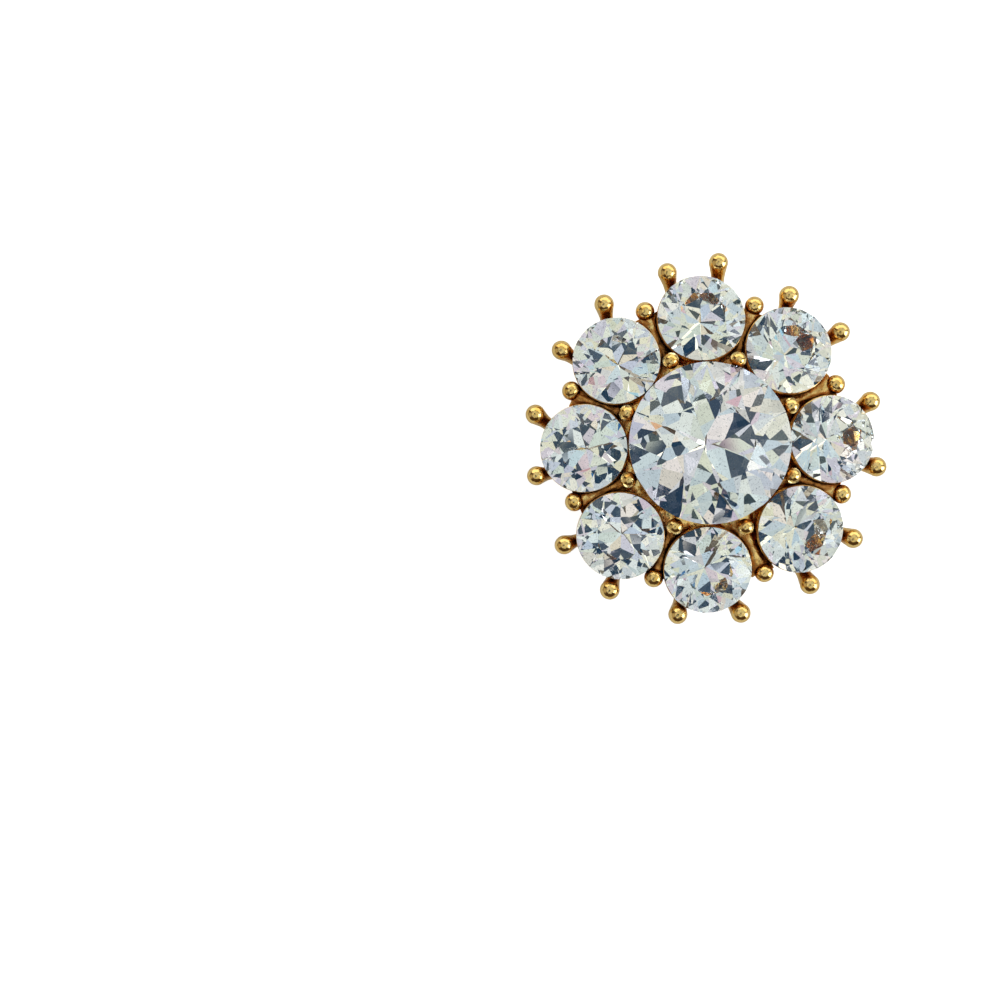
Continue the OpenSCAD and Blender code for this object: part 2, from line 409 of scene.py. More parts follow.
def tint_facets(stone, seed):
    """Stores one of the foil's colours on each face."""
    hand = random.Random(seed)
    colours = []
    for _ in stone.data.polygons:
        colours += (*hand.choice(FOIL_TINTS), 1)
    store = stone.data.attributes.new("foil_tint", "FLOAT_COLOR", "FACE")
    store.data.foreach_set("color", colours)


foil, tree, shader = new_material("mirror foil")
speckle = noise(tree, object_place(tree), scale=5000, detail=3)
specks = soft_step(tree, speckle, low=0.6, high=0.72)
facet_tint = attribute(tree, "foil_tint").outputs["Color"]
foil_colour = blend(tree, specks, facet_tint, SPECK_COLOUR)
wire(tree, foil_colour, shader.inputs["Base Color"])
shader.inputs["Metallic"].default_value = 1
shader.inputs["Roughness"].default_value = 0
tint_facets(centre_stone, seed=3)
tint_facets(petal_model, seed=4)
print("foil in", len(set(FOIL_TINTS)), "tints")

# %% [markdown]
# ## Setting the stones
#
# The eight ring stones are all cut alike, so one is modelled and copied. A glued stone ends up
# turned any way in its cup, so each copy gets a turn of its own. If they all stood alike, they
# would flash together, and that gives a copied stone away.
#
# A finished piece is scaled to metres, gets its materials, and takes the place of the plain
# stone in the frame.

# %% Set the stones
PETAL_TURNS = (320, 160, 200, 80, 80, 20, 220, 180)


def take_up(piece):
    """Makes one piece the selected and active one."""
    deselect_all()
    piece.select_set(True)
    bpy.context.view_layer.objects.active = piece


def copy_of(piece, name):
    """Copies a piece, with a mesh of its own."""
    take_up(piece)
    bpy.ops.object.duplicate()
    twin = bpy.context.object
    twin.name = name
    twin.data.name = name
    return twin


def stand(piece, matrix):
    """Puts a piece at its place and leaves its object at the origin."""
    take_up(piece)
    piece.matrix_world = matrix
    bpy.ops.object.transform_apply(location=True, rotation=True, scale=True)


def finish(piece, materials, slot, *nodes):
    """Scales a finished piece to metres, gives it its materials and puts it in the frame."""
    stand(piece, Matrix.Scale(MM, 4))
    for material in materials:
        piece.data.materials.append(material)
    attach(piece, "root")
    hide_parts(*nodes)


for i, stone_turn in enumerate(PETAL_TURNS):
    stone = copy_of(petal_model, f"petal_rhinestone_{i + 1}")
    stand(stone, petal_seat(i) @ turn(math.radians(stone_turn), "Z"))
    finish(stone, [glass, foil], "petal_crystal", f"petal_stone_{i + 1}")
bpy.data.objects.remove(petal_model)
stand(centre_stone, centre_seat())
finish(centre_stone, [glass, foil], "centre_crystal", "centre_stone")
print("stones set:", len(PETAL_TURNS) + 1)

# %% [markdown]
# ## The metal under the stones
#
# The real setting is one casting. Here its parts are modelled one by one, each from the
# primitive that is nearest to it, and at the end they are fused into one solid. The cups come
# first. A cup is a cone whose top is pulled up into a short band, inset to leave a rim, and
# pushed down to a point for the stone's back to sit in. The rim stands up close round the
# girdle, and below it the seat stays clear of the stone's lower facets.

# %% Cups
CUP_SIDES = 96
RIM_WIDTH = 0.15
# As shares of the stone's radius: how far the rim lies below the girdle, how far it stands up
# above the seat, and the height of the band outside it
RIM_DROP_SHARE = 0.03
RIM_HEIGHT_SHARE = 0.03
BAND_SHARE = 0.11
RIM_SOFTNESS = 0.025
SHARP_EDGE = 0.6
UPWARDS = 0.9


def pick_faces(piece, wanted):
    """Selects the faces whose middle and normal pass a test."""
    bpy.ops.mesh.select_all(action="DESELECT")
    mesh = bmesh.from_edit_mesh(piece.data)
    for face in mesh.faces:
        face.select_set(bool(wanted(face.calc_center_median(), face.normal)))
    bmesh.update_edit_mesh(piece.data)


def extrude(x, y, z):
    """Pulls the selected faces or edges out along a vector."""
    bpy.ops.mesh.extrude_region_move(TRANSFORM_OT_translate={"value": (x, y, z)})


def add_modifier(piece, kind, **settings):
    """Adds a modifier with its settings and applies it at once."""
    take_up(piece)
    bpy.ops.object.modifier_add(type=kind)
    modifier = piece.modifiers[-1]
    for setting, value in settings.items():
        setattr(modifier, setting, value)
    bpy.ops.object.modifier_apply(modifier=modifier.name)


def model_cup(name, stone_d, overhang, foot_r):
    """A cup for one stone, in the stone's own axes."""
    radius = stone_d / 2
    outer_r = radius + overhang
    seat_r = outer_r - RIM_WIDTH
    rim_z = -RIM_DROP_SHARE * radius
    band = BAND_SHARE * radius
    cone_h = (outer_r - foot_r) * math.tan(PAVILION_ANGLE)
    deselect_all()
    bpy.ops.mesh.primitive_cone_add(
        vertices=CUP_SIDES,
        radius1=foot_r,
        radius2=outer_r,
        depth=cone_h,
        location=(0, 0, rim_z - band - cone_h / 2),
    )
    cup = new_piece(name)
    pick_faces(cup, lambda middle, normal: normal.z > UPWARDS)
    extrude(0, 0, band)
    bpy.ops.mesh.inset(thickness=RIM_WIDTH)
    extrude(0, 0, -RIM_HEIGHT_SHARE * radius)
    extrude(0, 0, -seat_r * math.tan(PAVILION_ANGLE))
    bpy.ops.mesh.merge(type="CENTER")
    bpy.ops.object.mode_set(mode="OBJECT")
    add_modifier(
        cup,
        "BEVEL",
        width=RIM_SOFTNESS,
        segments=2,
        limit_method="ANGLE",
        angle_limit=SHARP_EDGE,
    )
    return cup


metal = []
cup = model_cup("centre_cup", CENTRE_D, overhang=-0.05, foot_r=0.6)
stand(cup, centre_seat())
metal.append(cup)
petal_cup = model_cup("petal_cup", PETAL_D, overhang=0.05, foot_r=0.2)
for i in range(PETALS):
    cup = copy_of(petal_cup, f"petal_cup_{i + 1}")
    stand(cup, petal_seat(i))
    metal.append(cup)
bpy.data.objects.remove(petal_cup)
print("cups:", len(metal))

# %% [markdown]
# ## The back plate
#
# A flower-shaped plate closes the back: a disc with a lobe behind each ring stone. Discs with
# rounded edges, laid over each other, give the outline and leave the small notches between the
# lobes that a cast flower has.

# %% Back plate
BACK_Z = 6.45
PLATE_T = 0.7
PLATE_R = 11.5
LOBE_R = 3.3
LOBE_REACH = 11
PLATE_SOFTNESS = 0.16


def model_disc(name, radius, sides):
    deselect_all()
    bpy.ops.mesh.primitive_cylinder_add(vertices=sides, radius=radius, depth=PLATE_T)
    disc = new_piece(name)
    bpy.ops.object.mode_set(mode="OBJECT")
    add_modifier(
        disc,
        "BEVEL",
        width=PLATE_SOFTNESS,
        segments=3,
        limit_method="ANGLE",
        angle_limit=SHARP_EDGE,
    )
    return disc


plate = model_disc("plate_middle", PLATE_R, sides=128)
stand(plate, shift(0, 0, BACK_Z + PLATE_T / 2))
metal.append(plate)
lobe_model = model_disc("plate_lobe", LOBE_R, sides=64)
for i in range(PETALS):
    lobe = copy_of(lobe_model, f"plate_lobe_{i + 1}")
    stand(lobe, turn(petal_angles[i], "Z") @ shift(LOBE_REACH, 0, BACK_Z + PLATE_T / 2))
    metal.append(lobe)
bpy.data.objects.remove(lobe_model)
print("metal pieces:", len(metal))

# %% [markdown]
# ## The ribs between the cups
#
# From the front, each gap between two ring stones shows a rough bar of metal that runs from
# the large stone out to the rim. A cube becomes one: its outer end is slanted, it is cut into a
# fine grid, and its middle line is lifted to a soft crest with proportional editing, which
# carries the points near by along. Both ends are widened in the same way.

# %% One rib
RIB_INNER = 6.9
RIB_OUTER_FOOT = 11.2
RIB_OUTER_TOP = 12.7
RIB_DROP = 0.9
RIB_SINK = 0.25
RIB_WIDTH = 1.9
CREST_RISE = 0.32
CREST_REACH = 1.1
INNER_FLARE = 1.75
OUTER_FLARE = 1.15
FLARE_REACH = 2.3
FLARE_DEPTH = 1
CLOSE = 0.05


def pick_points(piece, wanted):
    """Selects the points whose place passes a test."""
    bpy.ops.mesh.select_mode(type="VERT")
    bpy.ops.mesh.select_all(action="DESELECT")
    mesh = bmesh.from_edit_mesh(piece.data)
    for point in mesh.verts:
        point.select_set(bool(wanted(point.co)))
    mesh.select_flush_mode()
    bmesh.update_edit_mesh(piece.data)


def flare(rib, end_x, widening):
    """Widens a rib softly towards one end of its top."""
    top_z = max(p.co.z for p in bmesh.from_edit_mesh(rib.data).verts)
    pick_points(rib, lambda p: abs(p.x - end_x) < CLOSE and p.z > top_z - FLARE_DEPTH)
    bpy.ops.transform.resize(
        value=(1, widening, 1),
        center_override=(end_x, 0, 0),
        use_proportional_edit=True,
        proportional_edit_falloff="SMOOTH",
        proportional_size=FLARE_REACH,
    )


def model_rib():
    """A rib along +X, with its crest on the X axis."""
    length = RIB_OUTER_TOP - RIB_INNER
    foot_z = BACK_Z + RIB_SINK
    height = RING_HEIGHT - RIB_DROP - foot_z
    deselect_all()
    bpy.ops.mesh.primitive_cube_add(
        size=1,
        location=((RIB_INNER + RIB_OUTER_TOP) / 2, 0, foot_z + height / 2),
        scale=(length, RIB_WIDTH, height),
    )
    rib = new_piece("rib")
    pick_points(rib, lambda p: p.x > RIB_INNER + CLOSE and p.z < foot_z + CLOSE)
    bpy.ops.transform.translate(value=(RIB_OUTER_FOOT - RIB_OUTER_TOP, 0, 0))
    bpy.ops.mesh.select_all(action="SELECT")
    bpy.ops.mesh.subdivide(number_cuts=19)
    top_z = foot_z + height
    pick_points(rib, lambda p: p.z > top_z - CLOSE and abs(p.y) < CLOSE)
    bpy.ops.transform.translate(
        value=(0, 0, CREST_RISE),
        use_proportional_edit=True,
        proportional_edit_falloff="SMOOTH",
        proportional_size=CREST_REACH,
    )
    flare(rib, RIB_INNER, INNER_FLARE)
    flare(rib, RIB_OUTER_TOP, OUTER_FLARE)
    bpy.ops.object.mode_set(mode="OBJECT")
    return rib


rib_model = model_rib()
print("rib faces:", len(rib_model.data.polygons))

# %% [markdown]
# The ribs of a sand casting are never smooth. Once a copy stands in its gap, a clouds texture
# pushes its surface in and out by up to a tenth of a millimetre. The texture is read in the
# world's space, so no two ribs come out alike.

# %% Copy the rib into each gap
CAST_DEPTH = 0.2
CAST_GRAIN = 0.4


def gap_angle(i):
    """The direction halfway between a ring stone and the next."""
    here = petal_angles[i]
    there = petal_angles[(i + 1) % PETALS]
    return here + (there - here) % math.tau / 2


cast_noise = bpy.data.textures.new("sand-cast surface", "CLOUDS")
cast_noise.noise_scale = CAST_GRAIN
cast_noise.noise_depth = 3
for i in range(PETALS):
    rib = copy_of(rib_model, f"rib_{i + 1}")
    stand(rib, turn(gap_angle(i), "Z"))
    add_modifier(
        rib,
        "DISPLACE",
        texture=cast_noise,
        texture_coords="GLOBAL",
        strength=CAST_DEPTH,
        mid_level=0.5,
    )
    metal.append(rib)
bpy.data.objects.remove(rib_model)
print("metal pieces:", len(metal))

# %% [markdown]
# ## The ball-tipped prongs
#
# Thirty-two prongs stand round the stones. One is modelled, with a ball of radius 1 at the
# origin and its stem hanging down: a sphere loses its lowest faces, and the open edge is pulled
# down ring by ring into a neck, a tapering stem and a spreading foot. A cylinder pushed into a
# ball would do for a plain pin, but it would leave a crease where the casting has a soft neck.

# %% One prong
BALL_SEGMENTS = 40
BALL_RINGS = 24
NECK_DEPTH = 0.38
FOOT_LENGTH = 0.6
# How far each ring falls below the last, and its width as a share of the last one's
STEM_RINGS = (
    (0.35, 0.94),
    (0.4, 0.9),
    (0.5, 0.9),
    (0.8, 0.92),
    (1.4, 0.97),
    (0.5, 1.12),
)


def model_prong():
    deselect_all()
    bpy.ops.mesh.primitive_uv_sphere_add(
        segments=BALL_SEGMENTS, ring_count=BALL_RINGS, radius=1
    )
    prong = new_piece("prong")
    pick_faces(prong, lambda middle, normal: middle.z < -NECK_DEPTH)
    bpy.ops.mesh.delete(type="FACE")
    bpy.ops.mesh.select_mode(type="EDGE")
    bpy.ops.mesh.select_all(action="DESELECT")
    bpy.ops.mesh.select_non_manifold()
    for fall, widening in STEM_RINGS:
        extrude(0, 0, -fall)
        bpy.ops.transform.resize(value=(widening, widening, 1), center_override=(0, 0, 0))
    bpy.ops.mesh.edge_face_add()
    bpy.ops.mesh.select_all(action="SELECT")
    bpy.ops.mesh.normals_make_consistent(inside=False)
    bpy.ops.object.mode_set(mode="OBJECT")
    return prong


prong_model = model_prong()
model_foot = min(p.co.z for p in prong_model.data.vertices)
print("the model's stem reaches", round(-model_foot, 2), "ball radii down")

# %% [markdown]
# ## Where the prongs stand
#
# Two prongs stand outside each ring stone, and two in each gap: one at its outer end and one
# beside the large stone. A prong's place is that of its foot on the plate or cup and that of
# its ball, and the stem joins the two. The prongs were bent by hand when the stones were set,
# so each ball has its own small departure from the even layout.

# %% Places of the prongs
# Reaches are counted from the middle of the earring, in millimetres, spreads from the direction
# of the ring stone, in degrees, and drops and rises from the height of the ring
TIP_BALL_R = 0.9
VALLEY_BALL_R = 0.87
INNER_BALL_R = 0.74
TIP_REACH = 15.65
TIP_SPREAD = 10.4
VALLEY_REACH = 13
INNER_REACH = 7.95
TIP_DROP = 1.3
VALLEY_DROP = 0.8
INNER_RISE = 1.5
FOOT_RISE = 0.5  # from the back of the plate
TIP_FOOT_REACH = 13.6
TIP_FOOT_SPREAD = 8.5
VALLEY_FOOT_REACH = 11.6
INNER_FOOT_REACH = 7.9
INNER_FOOT_DROP = 1.9

# Departures of each ring stone's two outer balls: the right-hand one's spread in degrees and
# distance outwards, and the left-hand one's
TIP_ROWS = (
    (-0.85, 0.05, 2, -0.15),
    (-1.5, 0.3, 1.4, -0.15),
    (-3.7, 0.85, -0.5, 0.25),
    (1.2, -0.05, -1, -0.15),
    (1.7, -0.1, -1.85, -0.2),
    (0.9, -0.05, -0.4, 0.05),
    (-0.8, -0.1, 1.05, -0.05),
    (0.5, 0.2, -0.6, 0.25),
)
# The same for the balls in each gap: the outer one's turn in degrees and distance outwards,
# and the inner one's
GAP_ROWS = (
    (-0.7, -0.05, -0.9, 0.1),
    (0, 0.25, 0.1, -0.05),
    (-0.4, 0.15, -0.3, 0.1),
    (-1.4, 0, 0, -0.25),
    (-0.7, -0.1, 0, -0.15),
    (0.1, -0.1, -0.8, 0),
    (0.4, -0.25, -0.4, 0.15),
    (-0.1, 0.1, -1, 0.05),
)


def polar(reach, angle, z):
    return Vector((reach * math.cos(angle), reach * math.sin(angle), z))


prong_places = []
for i, (right_spread, right_out, left_spread, left_out) in enumerate(TIP_ROWS):
    for side, more, out in ((-1, right_spread, right_out), (1, left_spread, left_out)):
        foot_angle = petal_angles[i] + side * math.radians(TIP_FOOT_SPREAD)
        ball_angle = petal_angles[i] + side * math.radians(TIP_SPREAD + more)
        foot = polar(TIP_FOOT_REACH, foot_angle, BACK_Z + FOOT_RISE)
        ball = polar(TIP_REACH + out, ball_angle, RING_HEIGHT - TIP_DROP)
        prong_places.append((foot, ball, TIP_BALL_R))
for i, (outer_turn, outer_out, inner_turn, inner_out) in enumerate(GAP_ROWS):
    angle = gap_angle(i)
    foot = polar(VALLEY_FOOT_REACH, angle, BACK_Z + FOOT_RISE)
    ball_angle = angle + math.radians(outer_turn)
    ball = polar(VALLEY_REACH + outer_out, ball_angle, RING_HEIGHT - VALLEY_DROP)
    prong_places.append((foot, ball, VALLEY_BALL_R))
    foot = polar(INNER_FOOT_REACH, angle, RING_HEIGHT - INNER_FOOT_DROP)
    ball_angle = angle + math.radians(inner_turn)
    ball = polar(INNER_REACH + inner_out, ball_angle, RING_HEIGHT + INNER_RISE)
    prong_places.append((foot, ball, INNER_BALL_R))
print("prongs:", len(prong_places))

# %% [markdown]
# Each prong is a copy of the model. Its foot is moved to give it the length it needs, and it is
# scaled to its ball and swung round to point from its foot to its place. No cast ball is quite
# round, so each copy is also squeezed a little, by a random but repeatable amount.

# %% Copy the prong to each place
SQUEEZE = 0.04
SQUEEZE_SEED = 32

hand = random.Random(SQUEEZE_SEED)


def set_prong(name, foot, ball, ball_r):
    """A copy of the prong with its ball and foot at two given places."""
    prong = copy_of(prong_model, name)
    run = ball - foot
    wanted_foot = -run.length / ball_r
    bpy.ops.object.mode_set(mode="EDIT")
    pick_points(prong, lambda p: p.z < model_foot + FOOT_LENGTH)
    bpy.ops.transform.translate(value=(0, 0, wanted_foot - model_foot))
    bpy.ops.object.mode_set(mode="OBJECT")
    squeeze = [ball_r * (1 - hand.uniform(0, SQUEEZE)) for _ in "xy"]
    towards = run.to_track_quat("Z", "Y").to_matrix().to_4x4()
    prong.data.transform(Matrix.Diagonal((*squeeze, ball_r, 1)))
    stand(prong, Matrix.Translation(ball) @ towards)
    return prong


for number, (foot, ball, ball_r) in enumerate(prong_places, 1):
    metal.append(set_prong(f"prong_{number}", foot, ball, ball_r))
bpy.data.objects.remove(prong_model)
print("metal pieces:", len(metal))

# %% [markdown]
# ## One casting
#
# Melted metal has no seams inside it. The Boolean modifier's Manifold solver unites the pieces
# into one closed skin, in the same way as the plain solid was made, and the parts that lay
# inside each other are gone.

# %% Fuse the metal
SMOOTH_BELOW = math.radians(32)


def fuse(pieces, name):
    """Unites closed pieces, one after the other, into the first."""
    whole = pieces[0]
    for piece in pieces[1:]:
        add_modifier(whole, "BOOLEAN", operation="UNION", object=piece, solver="MANIFOLD")
        bpy.data.objects.remove(piece)
    whole.name = name
    whole.data.name = name
    return whole


setting = fuse(metal, "cast_setting")
setting.data.materials.clear()
take_up(setting)
bpy.ops.object.shade_smooth_by_angle(angle=SMOOTH_BELOW)
print("the casting has", len(setting.data.polygons), "faces")

# %% [markdown]
# ## The clip
#
# A clip for an unpierced ear is stamped from sheet and bent. The lesson does the same, and
# starts with the round pad that the sheet has at each end: a flat face, one side of which is
# squared off to the width of the strip.

# %% Draw a pad
CLIP_T = 0.9
PAD_R = 5.2
STRIP_W = 6.6
PAD_Y = -1.5
PAD_SIDES = 96


def draw_pad(name, z):
    """A flat round pad with a straight edge towards the strip, left selected."""
    deselect_all()
    bpy.ops.mesh.primitive_circle_add(
        vertices=PAD_SIDES, radius=PAD_R, fill_type="NGON", location=(0, PAD_Y, z)
    )
    pad = new_piece(name)
    edge_y = PAD_Y + math.sqrt(PAD_R**2 - (STRIP_W / 2) ** 2)
    pick_points(pad, lambda p: p.y > edge_y - CLOSE)
    bpy.ops.transform.resize(value=(1, 0, 1), center_override=(0, edge_y, z))
    xs = [v.co.x for v in bmesh.from_edit_mesh(pad.data).verts if v.select]
    widening = STRIP_W / 2 / max(xs)
    bpy.ops.transform.resize(value=(widening, 1, 1), center_override=(0, edge_y, z))
    return pad, edge_y


low_z = CLIP_T / 2
clip, edge_y = draw_pad("ear_clip_strip", low_z)
print("the strip starts at y =", round(edge_y, 2))

# %% [markdown]
# The pad's straight edge is pulled out into a strip, spun round half a turn and led back to a
# second pad, and the two are joined. A curve with a flat profile would give the same bend, but
# not the pads.

# %% Bend the strip
LOBE_GAP = 4.6
BEND_Y = 7.2
BEND_STEPS = 24

high_z = CLIP_T * 1.5 + LOBE_GAP
extrude(0, BEND_Y - edge_y, 0)
bpy.ops.mesh.spin(
    steps=BEND_STEPS,
    angle=math.pi,
    center=(0, BEND_Y, (low_z + high_z) / 2),
    axis=(-1, 0, 0),
)
extrude(0, edge_y - BEND_Y, 0)
bpy.ops.object.mode_set(mode="OBJECT")
upper_pad, _ = draw_pad("upper_pad", high_z)
bpy.ops.object.mode_set(mode="OBJECT")
take_up(clip)
upper_pad.select_set(True)
bpy.ops.object.join()
bpy.ops.object.mode_set(mode="EDIT")
bpy.ops.mesh.select_all(action="SELECT")
bpy.ops.mesh.remove_doubles(threshold=0.01)
bpy.ops.mesh.normals_make_consistent(inside=False)
bpy.ops.object.mode_set(mode="OBJECT")
print("the sheet has", len(clip.data.polygons), "faces")

# %% [markdown]
# Solidify gives the sheet its thickness, and Bevel breaks its edges. Bevel's Loop Slide is off,
# because sliding along the seam between pad and strip would fold the two inner corners over.

# %% Thicken the sheet
CLIP_SOFTNESS = 0.15

add_modifier(clip, "SOLIDIFY", thickness=CLIP_T, offset=0, use_even_offset=True)
add_modifier(
    clip,
    "BEVEL",
    width=CLIP_SOFTNESS,
    segments=3,
    limit_method="ANGLE",
    angle_limit=SHARP_EDGE,
    loop_slide=False,
)
take_up(clip)
bpy.ops.object.shade_smooth_by_angle(angle=SMOOTH_BELOW)
print("the clip has", len(clip.data.polygons), "faces")

# %% [markdown]
# ## Where the metal is hidden
#
# Plating stays bright where it is rubbed and tarnishes in the corners that no cloth reaches.
# Those corners also lie in shade, so the darkening painted into them is partly tarnish and
# partly painted shade.
# Those corners can be found: from each point of the metal, rays go out in many directions, and
# the share that soon hits something is stored at the point as its "recess". The materials read
# it later.

# %% Recesses
RECESS_REACH = 1.3 * MM
RAY_START = 0.01 * MM
RAY_COUNT = 48
GOLDEN_ANGLE = 137.5


def even_directions(count):
    """Directions spread evenly over a sphere, along a spiral."""
    for k in range(count):
        height = 1 - (2 * k + 1) / count
        flat = math.sqrt(1 - height**2)
        around = math.radians(k * GOLDEN_ANGLE)
        yield Vector((flat * math.cos(around), flat * math.sin(around), height))


def whole_surface(pieces):
    """One search tree over all the pieces' faces."""
    points = []
    faces = []
    for piece in pieces:
        start = len(points)
        points += [p.co.copy() for p in piece.data.vertices]
        faces += [[start + k for k in f.vertices] for f in piece.data.polygons]
    return BVHTree.FromPolygons(points, faces)


def store_recess(piece, surface):
    """Stores at each point how much of what it faces is close by."""
    directions = list(even_directions(RAY_COUNT))
    recess = []
    for point in piece.data.vertices:
        seen = hidden = 0
        for ray in directions:
            facing = ray.dot(point.normal)
            if facing > 0:
                seen += facing
                start = point.co + point.normal * RAY_START
                if surface.ray_cast(start, ray, RECESS_REACH)[0]:
                    hidden += facing
        recess.append(hidden / seen if seen else 0)
    # The recess drives the darkening of the plating's corners, which is partly tarnish and
    # partly painted shade.
    store = piece.data.attributes.new("recess", "FLOAT", "POINT")
    store.data.foreach_set("value", recess)
    return recess


print("rays from each point:", RAY_COUNT)

# %% [markdown]
# ## Aged gold plating, with painted shade
#
# The metal's look is a node group, so that the casting and the clip can share it with settings
# of their own. It stains the recesses a copper brown, which is partly tarnish and partly
# painted shade, and paints the deepest corners near-black as painted shade. A noise breaks up
# the edge of both, and the group returns a roughness and a height for the fine grain of cast
# metal. One plain gold would look new, and a painted-on stain wouldn't follow the corners.

# %% The plating group
STAIN_AND_SHADE_RAGGED = 0.9
STAIN_DULLS = 0.22
MOTTLE_DULLS = 0.1
MOTTLE_HEIGHT = 2
OPEN_GRAIN = 0.8
RECESS_GRAIN = 1.6


def new_group(name, inputs, outputs):
    """A node group with named sockets."""
    group = bpy.data.node_groups.new(name, "ShaderNodeTree")
    for label, kind in inputs:
        group.interface.new_socket(name=label, in_out="INPUT", socket_type="NodeSocket" + kind)
    for label, kind in outputs:
        group.interface.new_socket(name=label, in_out="OUTPUT", socket_type="NodeSocket" + kind)
    given = group.nodes.new("NodeGroupInput").outputs
    result = group.nodes.new("NodeGroupOutput").inputs
    return group, given, result


def work_out(tree, operation, *values):
    """A sum, done by a Math node."""
    node = tree.nodes.new("ShaderNodeMath")
    node.operation = operation
    for value, socket in zip(values, node.inputs):
        wire(tree, value, socket)
    return node.outputs[0]


plating_group, given, result = new_group(
    "aged plating with painted shade",
    (
        ("Place", "Vector"),
        ("Recess", "Float"),
        ("Plating", "Color"),
        ("Warm Plating", "Color"),
        ("Tarnish And Shade", "Color"),
        ("Painted Shade", "Color"),
        ("Mottle Scale", "Float"),
        ("Grain Scale", "Float"),
        ("Polish", "Float"),
    ),
    (("Base Color", "Color"), ("Roughness", "Float"), ("Height", "Float")),
)
mottle = noise(plating_group, given["Place"], given["Mottle Scale"], detail=3)
grain = noise(plating_group, given["Place"], given["Grain Scale"], detail=2)
ragged = work_out(plating_group, "MULTIPLY_ADD", mottle, STAIN_AND_SHADE_RAGGED, -STAIN_AND_SHADE_RAGGED / 2)
depth = work_out(plating_group, "ADD", given["Recess"], ragged)
# The copper-brown stain in the recesses is partly tarnish and partly painted shade.
stain_and_shade = soft_step(plating_group, depth, low=0.2, high=0.5)
# Painted shade: the near-black in the deepest corners is painted shade.
painted_shade = soft_step(plating_group, depth, low=0.45, high=0.85)
warmth = soft_step(plating_group, mottle, low=0.48, high=0.7)
metal_colour = blend(plating_group, warmth, given["Plating"], given["Warm Plating"])
stained_and_shaded = blend(plating_group, stain_and_shade, metal_colour, given["Tarnish And Shade"])
aged_and_shaded_colour = blend(plating_group, painted_shade, stained_and_shaded, given["Painted Shade"])
wire(plating_group, aged_and_shaded_colour, result["Base Color"])
dull = work_out(plating_group, "MULTIPLY_ADD", stain_and_shade, STAIN_DULLS, given["Polish"])
rough = work_out(plating_group, "MULTIPLY_ADD", mottle, MOTTLE_DULLS, dull)
wire(plating_group, rough, result["Roughness"])
coarse = work_out(plating_group, "MULTIPLY_ADD", mottle, MOTTLE_HEIGHT, grain)
grainy = work_out(plating_group, "MULTIPLY_ADD", given["Recess"], RECESS_GRAIN, OPEN_GRAIN)
wire(plating_group, work_out(plating_group, "MULTIPLY", coarse, grainy), result["Height"])
print("the plating group has", len(plating_group.nodes), "nodes")

# %% [markdown]
# ## Two plated metals
#
# The casting is polished and shows a fine grain. The clip is stamped sheet: duller, smoother to
# the touch, and with its grain drawn out along the strip. A Mapping node does that, because it
# squeezes the place at which the pattern is read. Both have the same gold, so they look like
# one piece of jewellery.

# %% Plate the metal
GRAIN_HEIGHT = 0.03 * MM


def plated(name, polish, relief, stretch):
    """A plated metal: how rough, how deep its grain, and how drawn out along each axis."""
    material, tree, shader = new_material(name)
    mapping = tree.nodes.new("ShaderNodeMapping")
    wire(tree, object_place(tree), mapping.inputs["Vector"])
    mapping.inputs["Scale"].default_value = stretch
    ageing_and_shade = tree.nodes.new("ShaderNodeGroup")
    ageing_and_shade.node_tree = plating_group
    wire(tree, mapping.outputs["Vector"], ageing_and_shade.inputs["Place"])
    wire(tree, attribute(tree, "recess").outputs["Fac"], ageing_and_shade.inputs["Recess"])
    ageing_and_shade.inputs["Plating"].default_value = (0.93, 0.66, 0.25, 1)
    ageing_and_shade.inputs["Warm Plating"].default_value = (0.86, 0.52, 0.13, 1)
    # The copper brown is partly tarnish and partly painted shade.
    ageing_and_shade.inputs["Tarnish And Shade"].default_value = (0.54, 0.23, 0.055, 1)
    # The near-black is painted shade for the deepest corners.
    ageing_and_shade.inputs["Painted Shade"].default_value = (0.08, 0.025, 0.008, 1)
    ageing_and_shade.inputs["Mottle Scale"].default_value = 1600
    ageing_and_shade.inputs["Grain Scale"].default_value = 6500
    ageing_and_shade.inputs["Polish"].default_value = polish
    bump = tree.nodes.new("ShaderNodeBump")
    bump.inputs["Strength"].default_value = relief
    bump.inputs["Distance"].default_value = GRAIN_HEIGHT
    wire(tree, ageing_and_shade.outputs["Height"], bump.inputs["Height"])
    wire(tree, bump.outputs["Normal"], shader.inputs["Normal"])
    wire(tree, ageing_and_shade.outputs["Base Color"], shader.inputs["Base Color"])
    wire(tree, ageing_and_shade.outputs["Roughness"], shader.inputs["Roughness"])
    shader.inputs["Metallic"].default_value = 1
    return material


cast_gold = plated("cast gold plating", polish=0.02, relief=0.6, stretch=(1, 1, 1))
sheet_gold = plated("stamped gold plating", polish=0.1, relief=0.25, stretch=(1, 0.12, 1))
finish(setting, [cast_gold], "gold_setting", "setting")
finish(clip, [sheet_gold], "gold_clip", "ear_clip")
solid_pieces = [o for o in bpy.context.scene.objects if o.type == "MESH" and not o.hide_render]
surface = whole_surface(solid_pieces)
for piece in (setting, clip):
    recess = store_recess(piece, surface)
    print(piece.name, "is hidden by", round(sum(recess) / len(recess), 2), "on average")


# %% [markdown]
# ## The paper it lies on
#
# The earring was photographed on white paper that is overexposed to pure white. The paper here
# is a plane with a faint fibre noise. It glows a little for the camera alone, so the picture's
# ground is white while the light that it throws up at the metal stays real.

# %% Floor
DARK_FIBRE = (0.80, 0.80, 0.80, 1)
LIGHT_FIBRE = (0.86, 0.86, 0.86, 1)
PAPER_GLOW = 0.75

